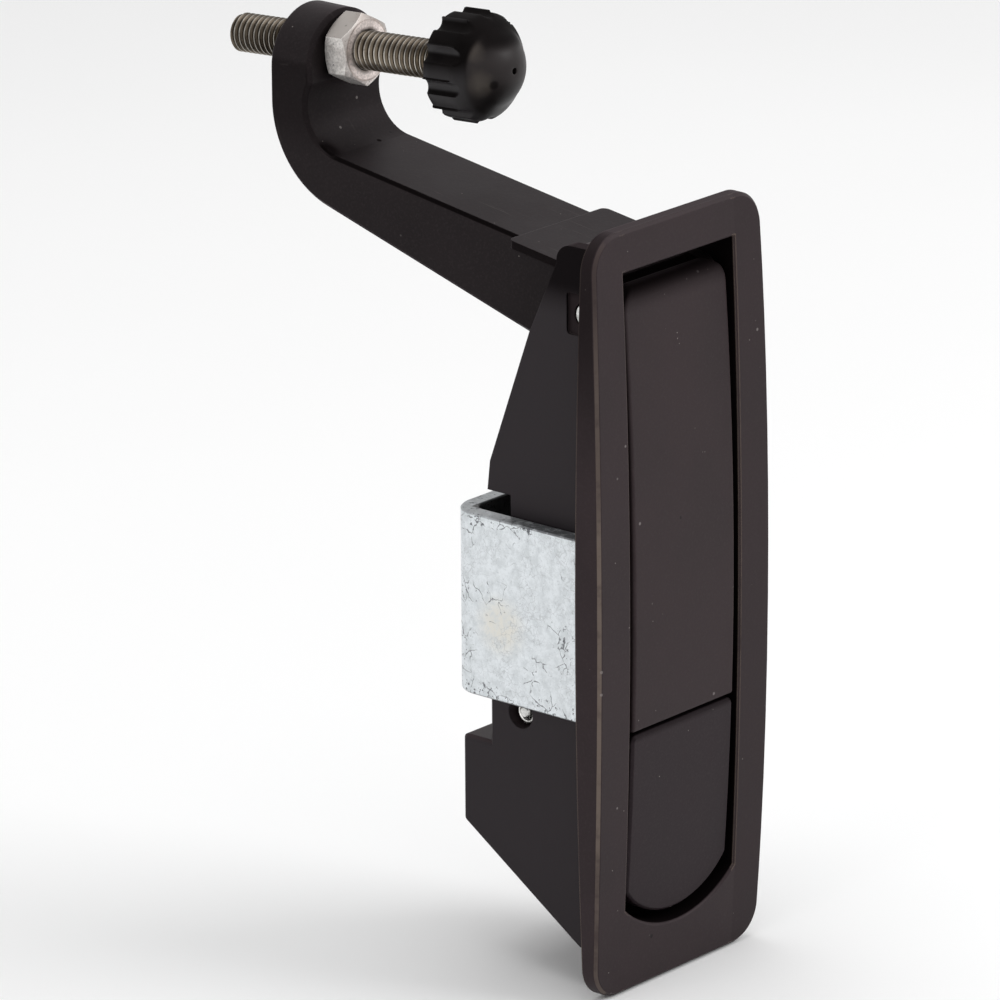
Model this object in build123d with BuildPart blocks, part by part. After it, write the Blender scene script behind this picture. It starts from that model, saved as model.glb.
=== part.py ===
from build123d import *
import os
from math import cos, radians, sin, tan

# Flush trigger-release compression latch with a gooseneck arm and an adjustable rubber bumper.
# Frame: X to the right as seen from the front, Y into the cabinet, Z up, in millimetres.
# The origin is the middle of the flange's rear face, which seats on the front of the panel.

# ---- driving dimensions: flange and opening ----
flange_height = 117.0
flange_end_width = 37.9
flange_rear_bulge = 1.65  # how far each side bows out at mid height, at the rear face
flange_front_bulge = 0.8  # the same at the front face, so the flank is drafted
flange_end_thickness = 2.3
flange_mid_thickness = 4.0
flange_corner_radius = 5.5
flange_edge_break = 0.5
opening_half_width = 12.6
opening_top = 52.3
opening_shoulder = -45.4  # where the straight sides meet the bottom arc
opening_bottom = -50.3

# ---- driving dimensions: housing body behind the panel ----
body_half_width = 15.0
body_top = 55.5
body_bottom = -52.1
top_wall_depth = 4.5
corner_depth = 5.0
notch_top = 15.5
notch_bottom = -12.5
notch_depth = 16.9
wall_depth = 21.35
box_top = -23.7
box_depth = 26.7
box_bottom = -37.3
rear_wall_thickness = 2.1

# ---- driving dimensions: handle and trigger ----
face_mid_depth = 3.77  # front of the handle at mid height, measured forward of the panel plane
face_crown_radius = 610.0
plate_thickness = 2.6
plate_half_width = 11.65
handle_top = 49.3
handle_bottom = -17.8
trigger_top = -18.4
trigger_shoulder = -43.0
trigger_bottom = -48.7
pivot_y = 2.9
pivot_z = 45.4
pivot_radius = 2.0
roll_pin_y = 8.2
roll_pin_z = 39.6
roll_pin_radius = 1.5
trigger_pivot_y = 15.2
trigger_pivot_z = -18.0
trigger_pin_radius = 1.0
running_gap = 0.05  # radial clearance of each turning fit

# ---- driving dimensions: gooseneck arm ----
arm_half_width = 8.6
arm_slot_half_width = 3.7
spring_bridge_z = 48.75  # the root closes over the spring above this height
lip_half_width = 11.0
lip_start = 5.2
lip_end = 20.6
lip_thickness = 1.2
arm_top_slope = 0.1556
arm_top_at_lip = 52.85
arm_bottom_slope = 0.3034
arm_bottom_at_wall = 38.4
wall_reference = 18.8
upright_rear = 69.2
upright_front = 61.4
upright_end_height = 78.5
heel_radius = 15.2
arm_edge_break = 0.6

# ---- driving dimensions: stud, nut, bumper ----
stud_tilt = 3.1  # degrees, front end up
stud_rear_y = 83.4
stud_rear_z = 71.5
stud_radius = 3.0
stud_length = 50.0
stud_clearance = 0.1
nut_across_flats = 9.8
nut_height = 4.2
nut_turn = 2.0  # degrees that its upper corner leans from upright
bumper_start = 44.0  # distance of the bumper's rim from the stud's rear end
bumper_length = 11.3
bumper_dome_radius = 8.4
bumper_skirt_radius = 8.05
bumper_skirt_length = 6.1
bumper_groove_radius = 6.9
flute_count = 10
flute_angle = 14.0
flute_radius = 1.5
flute_depth = 0.7

# ---- driving dimensions: strap, its screw, springs ----
strap_top = 12.4
strap_bottom = -15.7
strap_thickness = 2.7
strap_outer_half_width = 17.9
strap_rear = 26.7
strap_bend_radius = 4.8
strap_front = 2.05  # room for a 2 mm panel behind the flange
screw_radius = 2.45
screw_length = 16.0
screw_head_radius = 4.6
screw_head_height = 3.3
washer_thickness = 1.2
boss_radius = 4.6
boss_rear = 21.8
lever_spring_wire = 0.45
lever_spring_radius = 2.6
trigger_spring_wire = 0.4
trigger_spring_radius = 1.6

# ---- worked out from the above ----
strap_middle = (strap_top + strap_bottom) / 2
stud_axis = (0, -cos(radians(stud_tilt)), sin(radians(stud_tilt)))
seat_drop = (stud_rear_y - upright_front) * tan(radians(stud_tilt)) ** 2
far_in_front = 8.0
side_reach = 30.0


def face_y(z):
    """Depth of the crowned front face shared by the handle and the trigger."""
    return z * z / (2 * face_crown_radius) - face_mid_depth


def arm_top_z(y):
    """Height of the arm's flat top at depth y."""
    return arm_top_at_lip + arm_top_slope * (y - lip_end)


def arm_bottom_z(y):
    """Height of the arm's underside at depth y."""
    return arm_bottom_at_wall + arm_bottom_slope * (y - wall_reference)


def seat_y(z):
    """Depth of the nut's seat on the upright, which is square to the stud."""
    return upright_front + tan(radians(stud_tilt)) * (z - stud_rear_z) - seat_drop


def stud_plane(distance):
    """Plane across the stud, this far forward of its rear end, facing forward."""
    origin = (0, stud_rear_y + distance * stud_axis[1], stud_rear_z + distance * stud_axis[2])
    return Plane(origin=origin, x_dir=(1, 0, 0), z_dir=stud_axis)


def stud_section_plane():
    """Plane through the stud's axis: local x runs forward from the rear end, local y is the radius."""
    origin = (0, stud_rear_y, stud_rear_z)
    return Plane(origin=origin, x_dir=stud_axis, z_dir=(1, 0, 0))


def stud_line():
    """Axis of the stud, pointing forward."""
    return Axis((0, stud_rear_y, stud_rear_z), stud_axis)


def flange_outline(plane, bulge):
    """Barrel-shaped flange outline with rounded corners, drawn on the given plane."""
    half_width = flange_end_width / 2
    half_height = flange_height / 2
    with BuildSketch(plane) as outline:
        with BuildLine():
            ThreePointArc((half_width, -half_height), (half_width + bulge, 0), (half_width, half_height))
            Line((half_width, half_height), (-half_width, half_height))
            ThreePointArc((-half_width, half_height), (-half_width - bulge, 0), (-half_width, -half_height))
            Line((-half_width, -half_height), (half_width, -half_height))
        make_face()
        fillet(outline.vertices(), flange_corner_radius)
    return outline.sketch


def crowned_slab(top, bottom, top_edge_radius=0):
    """Section of a plate that follows the crowned face, seen from the side."""
    middle = (top + bottom) / 2
    with BuildSketch(Plane.YZ) as slab:
        with BuildLine():
            ThreePointArc((face_y(bottom), bottom), (face_y(middle), middle), (face_y(top), top))
            Line((face_y(top), top), (face_y(top) + plate_thickness, top))
            ThreePointArc(
                (face_y(top) + plate_thickness, top),
                (face_y(middle) + plate_thickness, middle),
                (face_y(bottom) + plate_thickness, bottom),
            )
            Line((face_y(bottom) + plate_thickness, bottom), (face_y(bottom), bottom))
        make_face()
        if top_edge_radius:
            fillet(slab.vertices().sort_by_distance((face_y(top), top))[0], top_edge_radius)
    return slab.sketch


def finish(part, name):
    """Label a finished piece and write it."""
    part.label = name
    export_step(part, f"parts/{name}.step")


# ---- housing: one die casting of flange, side walls, rear web and trigger box ----
body_profile = [
    (0, body_top),
    (corner_depth + 3.0, body_top),
    (corner_depth + 3.0, 52.5),
    (13.2, 41.1),
    (wall_depth - 0.5, notch_top + 4.5),
    (wall_depth, notch_top),
    (notch_depth, notch_top),
    (notch_depth, notch_bottom),
    (wall_depth, notch_bottom),
    (wall_depth, box_top),
    (box_depth, box_top),
    (box_depth, box_bottom),
    (corner_depth, body_bottom),
    (0, body_bottom),
]
cavity_profile = [
    (1.5, opening_top),
    (top_wall_depth, opening_top),
    (top_wall_depth, body_top + 5),
    (box_depth + 5, body_top + 5),
    (box_depth + 5, notch_top),
    (notch_depth - rear_wall_thickness, notch_top),
    (notch_depth - rear_wall_thickness, notch_bottom - rear_wall_thickness),
    (wall_depth - rear_wall_thickness, notch_bottom - rear_wall_thickness),
    (wall_depth - rear_wall_thickness, box_top - rear_wall_thickness),
    (box_depth - rear_wall_thickness, box_top - rear_wall_thickness),
    (box_depth - rear_wall_thickness, box_bottom + 1.2),
    (corner_depth - 1.2, opening_bottom),
    (1.5, opening_bottom),
]
lug_start = 5.9
lug_thickness = 2.2
lug_radius = 2.6
ledge_inner = 11.35
spring_hole_radius = 2.3
pin_pocket_depth = 0.4

with BuildPart() as housing:
    rear_outline = flange_outline(Plane.XZ, flange_rear_bulge)
    front_outline = flange_outline(Plane.XZ.offset(flange_mid_thickness), flange_front_bulge)
    loft(sections=[rear_outline, front_outline])
    with BuildSketch(Plane.YZ):
        half_height = flange_height / 2
        with BuildLine():
            ThreePointArc(
                (-flange_end_thickness, -half_height),
                (-flange_mid_thickness, 0),
                (-flange_end_thickness, half_height),
            )
            Polyline(
                (-flange_end_thickness, half_height),
                (0, half_height),
                (0, -half_height),
                (-flange_end_thickness, -half_height),
            )
        make_face()
    extrude(amount=side_reach, both=True, mode=Mode.INTERSECT)
    chamfer(housing.faces().sort_by(Axis.Y)[0].edges(), flange_edge_break)

    with BuildSketch(Plane.YZ) as body_section:
        Polygon(*body_profile, align=None)
        rear_top_corner = body_section.vertices().sort_by_distance((corner_depth + 3.0, body_top))[0]
        fillet(rear_top_corner, 2.6)
        for corner in ((box_depth, box_top), (box_depth, box_bottom)):
            fillet(body_section.vertices().sort_by_distance(corner)[0], 0.8)
    extrude(amount=body_half_width, both=True)

    with BuildSketch(Plane.YZ):
        Polygon(*cavity_profile, align=None)
    extrude(amount=opening_half_width, both=True, mode=Mode.SUBTRACT)
    with BuildSketch(Plane.XZ.offset(far_in_front)):
        with BuildLine():
            ThreePointArc(
                (-opening_half_width, opening_shoulder), (0, opening_bottom), (opening_half_width, opening_shoulder)
            )
            Polyline(
                (opening_half_width, opening_shoulder),
                (opening_half_width, opening_top),
                (-opening_half_width, opening_top),
                (-opening_half_width, opening_shoulder),
            )
        make_face()
    extrude(amount=-(far_in_front + 3.0), mode=Mode.SUBTRACT)
    chamfer(housing.faces().sort_by(Axis.Y)[0].inner_wires()[0].edges(), 0.3)

    outer_corners = housing.edges().filter_by(Axis.Z).filter_by(lambda edge: edge.center().Y > wall_depth - 0.1)
    chamfer(outer_corners.filter_by(lambda edge: abs(edge.center().X) > body_half_width - 0.1), 0.65)

    # Threaded boss for the strap screw, on the rear web.
    with BuildSketch(Plane.XZ.offset(-(notch_depth - rear_wall_thickness))):
        with Locations((0, strap_middle)):
            Circle(boss_radius)
    extrude(amount=-(boss_rear - notch_depth + rear_wall_thickness))
    with BuildSketch(Plane.XZ):
        with Locations((0, strap_middle)):
            Circle(screw_radius + 2 * running_gap)
    extrude(amount=-side_reach, mode=Mode.SUBTRACT)

    # Lugs that carry the trigger's pivot pin, and ledges that the closed handle rests on.
    for side in (-1, 1):
        lug_plane = Plane.YZ.offset(lug_start if side > 0 else -lug_start - lug_thickness)
        with BuildSketch(lug_plane):
            with Locations((trigger_pivot_y, trigger_pivot_z)):
                Circle(lug_radius)
                Rectangle(wall_depth - trigger_pivot_y - 1, 2 * lug_radius, align=(Align.MIN, Align.CENTER))
        extrude(amount=lug_thickness)
        ledge_plane = Plane.YZ.offset(ledge_inner if side > 0 else -opening_half_width - 0.2)
        with BuildSketch(ledge_plane):
            with Locations((0.2, -8.0)):
                Rectangle(2.4, 7.0)
        extrude(amount=opening_half_width + 0.2 - ledge_inner)

    # Bores for both pivot pins, the shallow pockets round the handle's pin, and the spring's hole.
    with BuildSketch(Plane.YZ):
        with Locations((pivot_y, pivot_z)):
            Circle(pivot_radius + 0.02)
        with Locations((trigger_pivot_y, trigger_pivot_z)):
            Circle(trigger_pin_radius + 0.02)
    extrude(amount=side_reach, both=True, mode=Mode.SUBTRACT)
    for side in (-1, 1):
        pocket_plane = Plane.YZ.offset(side * (body_half_width - (pin_pocket_depth if side > 0 else 0)))
        with BuildSketch(pocket_plane):
            with Locations((3.3, pivot_z)):
                RectangleRounded(5.6, 6.3, 0.6)
        extrude(amount=pin_pocket_depth, mode=Mode.SUBTRACT)
    with BuildSketch(Plane.YZ.offset(-body_half_width)):
        with Locations((trigger_pivot_y, trigger_pivot_z)):
            Circle(spring_hole_radius)
    extrude(amount=body_half_width - opening_half_width, mode=Mode.SUBTRACT)

# ---- mounting strap: bent U of zinc-plated steel that clamps the panel from behind ----
strap_inner_half_width = strap_outer_half_width - strap_thickness
strap_web_inner = strap_rear - strap_thickness
with BuildPart() as strap:
    with BuildSketch(Plane.XY.offset(strap_bottom)) as strap_section:
        with BuildLine():
            FilletPolyline(
                (-strap_outer_half_width, strap_front),
                (-strap_outer_half_width, strap_rear),
                (strap_outer_half_width, strap_rear),
                (strap_outer_half_width, strap_front),
                radius=strap_bend_radius,
            )
            Line((strap_outer_half_width, strap_front), (strap_inner_half_width, strap_front))
            FilletPolyline(
                (strap_inner_half_width, strap_front),
                (strap_inner_half_width, strap_web_inner),
                (-strap_inner_half_width, strap_web_inner),
                (-strap_inner_half_width, strap_front),
                radius=strap_bend_radius - strap_thickness,
            )
            Line((-strap_inner_half_width, strap_front), (-strap_outer_half_width, strap_front))
        make_face()
    extrude(amount=strap_top - strap_bottom)
    chamfer(strap.faces().sort_by(Axis.Z)[-1].edges(), 0.2)
    chamfer(strap.faces().sort_by(Axis.Z)[0].edges(), 0.2)
    with BuildSketch(Plane.XZ.offset(-strap_web_inner + 1)):
        with Locations((0, strap_middle)):
            Circle(screw_radius + 0.3)
    extrude(amount=-(strap_thickness + 2), mode=Mode.SUBTRACT)

# ---- handle: crowned paddle with side ribs, pivot ears and the catch tooth ----
ear_start = 8.8
ear_thickness = 2.4
rib_depth = 1.8
tooth_half_width = 4.5
tooth_front = 3.05
tooth_rear = 5.5
tooth_bottom = -14.0
nose_top = -13.1
nose_clearance = 0.5
with BuildPart() as handle:
    with BuildSketch(Plane.XZ.offset(far_in_front)) as handle_outline:
        with Locations((0, (handle_top + handle_bottom) / 2)):
            Rectangle(2 * plate_half_width, handle_top - handle_bottom)
        fillet(handle_outline.vertices().group_by(Axis.Y)[-1], 3.5)
        fillet(handle_outline.vertices().group_by(Axis.Y)[0], 0.4)
    extrude(amount=-2 * far_in_front)
    extrude(crowned_slab(handle_top, handle_bottom, 1.8), amount=side_reach, both=True, mode=Mode.INTERSECT)
    fillet(handle.faces().sort_by(Axis.Y)[0].edges().filter_by(Axis.X, reverse=True), 0.45)
    for side in (-1, 1):
        ear_plane = Plane.YZ.offset(ear_start if side > 0 else -ear_start - ear_thickness)
        with BuildSketch(ear_plane):
            with Locations((pivot_y, pivot_z)):
                Circle(4.2)
            with Locations((roll_pin_y, roll_pin_z)):
                Circle(3.0)
            with Locations((-0.8, 33.5), (-0.8, 47.0)):
                Circle(0.4)
            make_hull()
        extrude(amount=ear_thickness)
        with BuildSketch(ear_plane):
            with Locations((-1.3, 35.0)):
                Rectangle(rib_depth + 1.3, 49.5, align=(Align.MIN, Align.MAX))
        extrude(amount=ear_thickness)
    with BuildSketch(Plane.YZ):
        Polygon((-0.6, 34.5), (1.0, 34.5), (1.0, 48.6), (-0.6, 48.6), align=None)
    extrude(amount=ear_start, both=True)
    with BuildSketch(Plane.YZ):
        Polygon(
            (-1.8, -1.5),
            (0.5, -1.5),
            (tooth_rear, -7.0),
            (tooth_rear, tooth_bottom),
            (tooth_front, tooth_bottom),
            (tooth_front, nose_top + nose_clearance),
            (-1.8, nose_top + nose_clearance),
            align=None,
        )
    extrude(amount=tooth_half_width, both=True)
    with BuildSketch(Plane.YZ):
        with Locations((pivot_y, pivot_z)):
            Circle(lever_spring_radius + lever_spring_wire + 0.25)
    extrude(amount=arm_slot_half_width, both=True, mode=Mode.SUBTRACT)
    with BuildSketch(Plane.YZ):
        with Locations((pivot_y, pivot_z)):
            Circle(pivot_radius + running_gap)
        with Locations((roll_pin_y, roll_pin_z)):
            Circle(roll_pin_radius)
    extrude(amount=side_reach, both=True, mode=Mode.SUBTRACT)

# ---- gooseneck arm: forked root, tapered beam, turned-up end with the stud's hole ----
seat_foot = (seat_y(68.6), 68.6)
inner_bend = (62.05, 65.1)
inner_bend_end_y = 56.6
inner_bend_end = (inner_bend_end_y, arm_top_z(inner_bend_end_y))
root_front = 1.0
root_bottom = (9.0, arm_bottom_z(9.0))
heel_corner = (upright_rear, arm_bottom_z(upright_rear))
with BuildPart() as arm:
    with BuildSketch(Plane.YZ) as arm_section:
        with BuildLine():
            Polyline(
                inner_bend_end,
                (root_front + 1.5, arm_top_z(root_front + 1.5) - 0.3),
                (root_front, arm_top_z(root_front) - 1.6),
                (root_front, root_bottom[1]),
                root_bottom,
                heel_corner,
                (upright_rear, 85.0),
                (seat_y(85.0), 85.0),
                seat_foot,
            )
            ThreePointArc(seat_foot, inner_bend, inner_bend_end)
        make_face()
        fillet(arm_section.vertices().sort_by_distance(heel_corner)[0], heel_radius)
    extrude(amount=arm_half_width, both=True)
    with BuildSketch(Plane.XZ) as end_outline:
        with Locations((0, upright_end_height)):
            Rectangle(2 * arm_half_width, 2 * upright_end_height, align=(Align.CENTER, Align.MAX))
        fillet(end_outline.vertices().group_by(Axis.Y)[-1], arm_half_width - 0.05)
    extrude(amount=-(upright_rear + 10), mode=Mode.INTERSECT)
    long_edges = arm.edges().filter_by(lambda edge: edge.center().Y > 22)
    rim_edges = long_edges.filter_by(Axis.X, reverse=True).filter_by(Axis.Y, reverse=True)
    chamfer(rim_edges, arm_edge_break)
    with BuildSketch(Plane.YZ):
        Polygon(
            (lip_start, arm_top_z(lip_start)),
            (lip_end, arm_top_z(lip_end)),
            (lip_end, arm_top_z(lip_end) - lip_thickness),
            (lip_start, arm_top_z(lip_start) - lip_thickness),
            align=None,
        )
    extrude(amount=lip_half_width, both=True)
    lip_ends = arm.edges().filter_by(Axis.Z).filter_by(lambda edge: abs(edge.center().X) > lip_half_width - 0.1)
    fillet(lip_ends.group_by(Axis.Y)[-1], 1.1)
    with BuildSketch(Plane.YZ):
        with Locations((root_front - 1, spring_bridge_z)):
            Rectangle(8.6, 20.0, align=(Align.MIN, Align.MAX))
    extrude(amount=arm_slot_half_width, both=True, mode=Mode.SUBTRACT)
    with BuildSketch(Plane.YZ):
        with Locations((pivot_y, pivot_z)):
            Circle(pivot_radius + running_gap)
        with Locations((roll_pin_y, roll_pin_z)):
            Circle(roll_pin_radius)
    extrude(amount=side_reach, both=True, mode=Mode.SUBTRACT)
    with BuildSketch(stud_plane(0)):
        Circle(stud_radius + stud_clearance)
    extrude(amount=bumper_start, mode=Mode.SUBTRACT)

# ---- pins ----
pivot_pin_half_length = body_half_width - pin_pocket_depth
with BuildPart() as pivot_pin:
    with BuildSketch(Plane.YZ.offset(-pivot_pin_half_length)):
        with Locations((pivot_y, pivot_z)):
            Circle(pivot_radius)
    extrude(amount=2 * pivot_pin_half_length)
    chamfer(pivot_pin.edges().filter_by(GeomType.CIRCLE), 0.3)

with BuildPart() as roll_pin:
    with BuildSketch(Plane.YZ.offset(-ear_start - ear_thickness)):
        with Locations((roll_pin_y, roll_pin_z)):
            Circle(roll_pin_radius)
            Circle(roll_pin_radius - 0.6, mode=Mode.SUBTRACT)
            with Locations((0, roll_pin_radius)):
                Rectangle(0.5, 2 * roll_pin_radius, mode=Mode.SUBTRACT)
    extrude(amount=2 * (ear_start + ear_thickness))

trigger_pin_left = -14.3
trigger_pin_right = 14.8
with BuildPart() as trigger_pin:
    with BuildSketch(Plane.YZ.offset(trigger_pin_left)):
        with Locations((trigger_pivot_y, trigger_pivot_z)):
            Circle(trigger_pin_radius)
    extrude(amount=trigger_pin_right - trigger_pin_left)
    chamfer(trigger_pin.edges().filter_by(GeomType.CIRCLE), 0.3)

# ---- trigger: crowned push plate with two cheeks to its pivot and the hooked nose ----
cheek_start = 8.4
cheek_thickness = 2.2
nose_half_width = 4.0
with BuildPart() as trigger:
    with BuildSketch(Plane.XZ.offset(far_in_front)) as trigger_outline:
        with BuildLine():
            ThreePointArc(
                (-plate_half_width, trigger_shoulder), (0, trigger_bottom), (plate_half_width, trigger_shoulder)
            )
            Polyline(
                (plate_half_width, trigger_shoulder),
                (plate_half_width, trigger_top),
                (-plate_half_width, trigger_top),
                (-plate_half_width, trigger_shoulder),
            )
        make_face()
        fillet(trigger_outline.vertices().group_by(Axis.Y)[-1], 1.0)
        fillet(trigger_outline.vertices().group_by(Axis.Y)[0], 0.8)
    extrude(amount=-2 * far_in_front)
    extrude(crowned_slab(trigger_top, trigger_bottom - 1), amount=side_reach, both=True, mode=Mode.INTERSECT)
    chamfer(trigger.faces().sort_by(Axis.Y)[0].edges(), 0.4)
    for side in (-1, 1):
        with BuildSketch(Plane.YZ.offset(cheek_start if side > 0 else -cheek_start - cheek_thickness)):
            with Locations((trigger_pivot_y, trigger_pivot_z)):
                Circle(2.8)
            with Locations((-0.9, -20.6), (-0.7, -39.0)):
                Circle(0.6)
            make_hull()
            Polygon(
                (trigger_pivot_y, trigger_pivot_z + 2.6),
                (wall_depth - rear_wall_thickness - 0.1, trigger_pivot_z + 2.4),
                (wall_depth - rear_wall_thickness - 0.1, trigger_pivot_z + 0.8),
                (trigger_pivot_y, trigger_pivot_z - 2.6),
                align=None,
            )
        extrude(amount=cheek_thickness)
    with BuildSketch(Plane.YZ):
        Polygon(
            (-1.6, -24.0),
            (tooth_front - 0.05, -24.0),
            (tooth_front - 0.05, nose_top),
            (1.8, nose_top),
            (0.8, nose_top - 1.4),
            (0.8, -19.5),
            (-1.6, -19.5),
            align=None,
        )
    extrude(amount=nose_half_width, both=True)
    with BuildSketch(Plane.YZ):
        with Locations((trigger_pivot_y, trigger_pivot_z)):
            Circle(trigger_pin_radius + running_gap)
    extrude(amount=side_reach, both=True, mode=Mode.SUBTRACT)

# ---- threaded stud, lock nut and rubber bumper, all on the tilted axis ----
head_start = stud_length - 2.2
head_radius = 4.6
with BuildPart() as stud:
    with BuildSketch(stud_section_plane()):
        Polygon(
            (0, 0),
            (0, stud_radius - 0.7),
            (0.7, stud_radius),
            (head_start, stud_radius),
            (head_start, head_radius),
            (stud_length, head_radius),
            (stud_length, 0),
            align=None,
        )
    revolve(axis=stud_line())

nut_start = (stud_rear_y - upright_front) / cos(radians(stud_tilt)) + 0.02
nut_corner_radius = nut_across_flats / 2 / cos(radians(30))
with BuildPart() as lock_nut:
    with BuildSketch(stud_plane(nut_start)):
        RegularPolygon(radius=nut_corner_radius, side_count=6, rotation=30 + nut_turn)
        Circle(stud_radius + stud_clearance, mode=Mode.SUBTRACT)
    extrude(amount=nut_height)
    chamfer_rise = (nut_corner_radius - nut_across_flats / 2) * tan(radians(30))
    with BuildSketch(stud_section_plane()):
        Polygon(
            (nut_start, 0),
            (nut_start, nut_across_flats / 2 - 0.25),
            (nut_start + chamfer_rise, nut_corner_radius),
            (nut_start + nut_height - chamfer_rise, nut_corner_radius),
            (nut_start + nut_height, nut_across_flats / 2 - 0.25),
            (nut_start + nut_height, 0),
            align=None,
        )
    revolve(axis=stud_line(), mode=Mode.INTERSECT)

dome_centre = bumper_start + bumper_length - bumper_dome_radius
dome_tip = bumper_start + bumper_length
with BuildPart() as bumper:
    with BuildSketch(stud_section_plane()) as bumper_section:
        with BuildLine():
            dome = CenterArc((dome_centre, 0), bumper_dome_radius, 0, 64)
            Polyline(
                dome @ 1,
                (bumper_start + bumper_skirt_length, bumper_groove_radius),
                (bumper_start + bumper_skirt_length - 0.2, bumper_skirt_radius - 0.5),
                (bumper_start + bumper_skirt_length - 0.6, bumper_skirt_radius),
                (bumper_start + 0.5, bumper_skirt_radius),
                (bumper_start, bumper_skirt_radius - 0.5),
                (bumper_start, 0),
                dome @ 0,
            )
        make_face()
    revolve(axis=stud_line())
    with BuildSketch(stud_plane(bumper_start)):
        with PolarLocations(bumper_skirt_radius + flute_radius - flute_depth, flute_count, start_angle=flute_angle):
            Circle(flute_radius)
    extrude(amount=bumper_skirt_length, mode=Mode.SUBTRACT)
    with BuildSketch(stud_section_plane()):
        Polygon(
            (bumper_start, 0),
            (bumper_start, stud_radius),
            (head_start, stud_radius),
            (head_start, head_radius),
            (stud_length, head_radius),
            (stud_length, 0),
            align=None,
        )
    revolve(axis=stud_line(), mode=Mode.SUBTRACT)
    with BuildSketch(stud_plane(dome_tip + 1)):
        Circle(0.5)
    extrude(amount=-(dome_tip + 1 - stud_length - 2.0), mode=Mode.SUBTRACT)

# ---- strap screw with its lock washer ----
head_seat = strap_rear + washer_thickness
screw_line = Axis((0, 0, strap_middle), (0, 1, 0))
screw_section = Plane(origin=(0, 0, strap_middle), x_dir=(0, 1, 0), z_dir=(1, 0, 0))
with BuildPart() as strap_screw:
    with BuildSketch(screw_section):
        Polygon(
            (head_seat - screw_length, 0),
            (head_seat - screw_length, screw_radius - 0.6),
            (head_seat - screw_length + 0.6, screw_radius),
            (head_seat, screw_radius),
            (head_seat, screw_head_radius),
            (head_seat + 1.6, screw_head_radius),
            (head_seat + screw_head_height, screw_head_radius * 0.6),
            (head_seat + screw_head_height, 0),
            align=None,
        )
    revolve(axis=screw_line)
    with BuildSketch(Plane.XZ.offset(-(head_seat + screw_head_height + 1))):
        with Locations((0, strap_middle)):
            Rectangle(5.0, 1.0)
            Rectangle(1.0, 5.0)
    extrude(amount=2.8, mode=Mode.SUBTRACT)

with BuildPart() as strap_washer:
    with BuildSketch(Plane.XZ.offset(-strap_rear)):
        with Locations((0, strap_middle)):
            Circle(screw_head_radius)
            Circle(screw_radius + 0.2, mode=Mode.SUBTRACT)
            with Locations((3.6, 0)):
                Rectangle(3.0, 0.5, mode=Mode.SUBTRACT)
    extrude(amount=-washer_thickness)


# ---- springs: close-wound torsion coils with two legs, each on its pivot pin ----
def torsion_coil(start, length, turns, coil_radius, wire_radius, centre_y, centre_z):
    """Round-wire coil about an X-parallel axis, left end at x = start; adds to the open part."""
    path = Helix(length / turns, length, coil_radius, center=(start, centre_y, centre_z), direction=(1, 0, 0))
    with BuildSketch(Plane(origin=path @ 0, z_dir=path % 0)) as wire:
        RegularPolygon(radius=wire_radius, side_count=6)
    sweep(sections=wire.sketch, path=path, is_frenet=True)
    return path


with BuildPart() as lever_spring:
    torsion_coil(-2.6, 5.2, 3, lever_spring_radius, lever_spring_wire, pivot_y, pivot_z)

with BuildPart() as trigger_spring:
    torsion_coil(-14.1, 2.7, 2.5, trigger_spring_radius, trigger_spring_wire, trigger_pivot_y, trigger_pivot_z)

# ---- write every piece ----
os.makedirs("parts", exist_ok=True)
pieces = {
    "housing": housing,
    "mounting_strap": strap,
    "strap_screw": strap_screw,
    "strap_lock_washer": strap_washer,
    "handle": handle,
    "gooseneck_arm": arm,
    "lever_pivot_pin": pivot_pin,
    "arm_roll_pin": roll_pin,
    "lever_spring": lever_spring,
    "trigger": trigger,
    "trigger_pivot_pin": trigger_pin,
    "trigger_spring": trigger_spring,
    "threaded_stud": stud,
    "lock_nut": lock_nut,
    "rubber_bumper": bumper,
}
for piece_name, piece in pieces.items():
    finish(piece.part, piece_name)
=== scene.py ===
from math import cos, pi, radians, sin, sqrt, tan
import bmesh
import bpy
from mathutils import Matrix, Vector


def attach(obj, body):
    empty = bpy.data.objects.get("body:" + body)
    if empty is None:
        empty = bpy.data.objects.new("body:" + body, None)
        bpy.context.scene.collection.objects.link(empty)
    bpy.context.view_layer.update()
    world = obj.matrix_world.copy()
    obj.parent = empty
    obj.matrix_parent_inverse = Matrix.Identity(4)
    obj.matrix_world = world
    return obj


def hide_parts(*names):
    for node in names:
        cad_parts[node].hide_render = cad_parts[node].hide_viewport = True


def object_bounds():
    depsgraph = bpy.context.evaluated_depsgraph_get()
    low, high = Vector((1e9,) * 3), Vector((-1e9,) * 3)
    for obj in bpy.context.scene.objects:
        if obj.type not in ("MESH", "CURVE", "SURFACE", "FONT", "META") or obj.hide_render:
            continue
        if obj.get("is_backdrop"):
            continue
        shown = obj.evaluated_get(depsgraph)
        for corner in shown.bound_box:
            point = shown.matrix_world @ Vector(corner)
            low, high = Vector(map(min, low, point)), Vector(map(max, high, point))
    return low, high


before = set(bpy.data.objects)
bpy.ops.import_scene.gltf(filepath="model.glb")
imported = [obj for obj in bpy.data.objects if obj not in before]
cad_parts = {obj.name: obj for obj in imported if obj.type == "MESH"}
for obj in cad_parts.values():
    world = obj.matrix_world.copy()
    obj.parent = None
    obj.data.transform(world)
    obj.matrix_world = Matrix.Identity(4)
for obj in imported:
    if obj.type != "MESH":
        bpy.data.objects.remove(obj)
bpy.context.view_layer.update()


MM = 0.001

# Front of the flange in the middle, and how fast the crowned face falls back with height squared, per metre.
FRONT_Y = -0.004
CROWN = 0.4967

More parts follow.
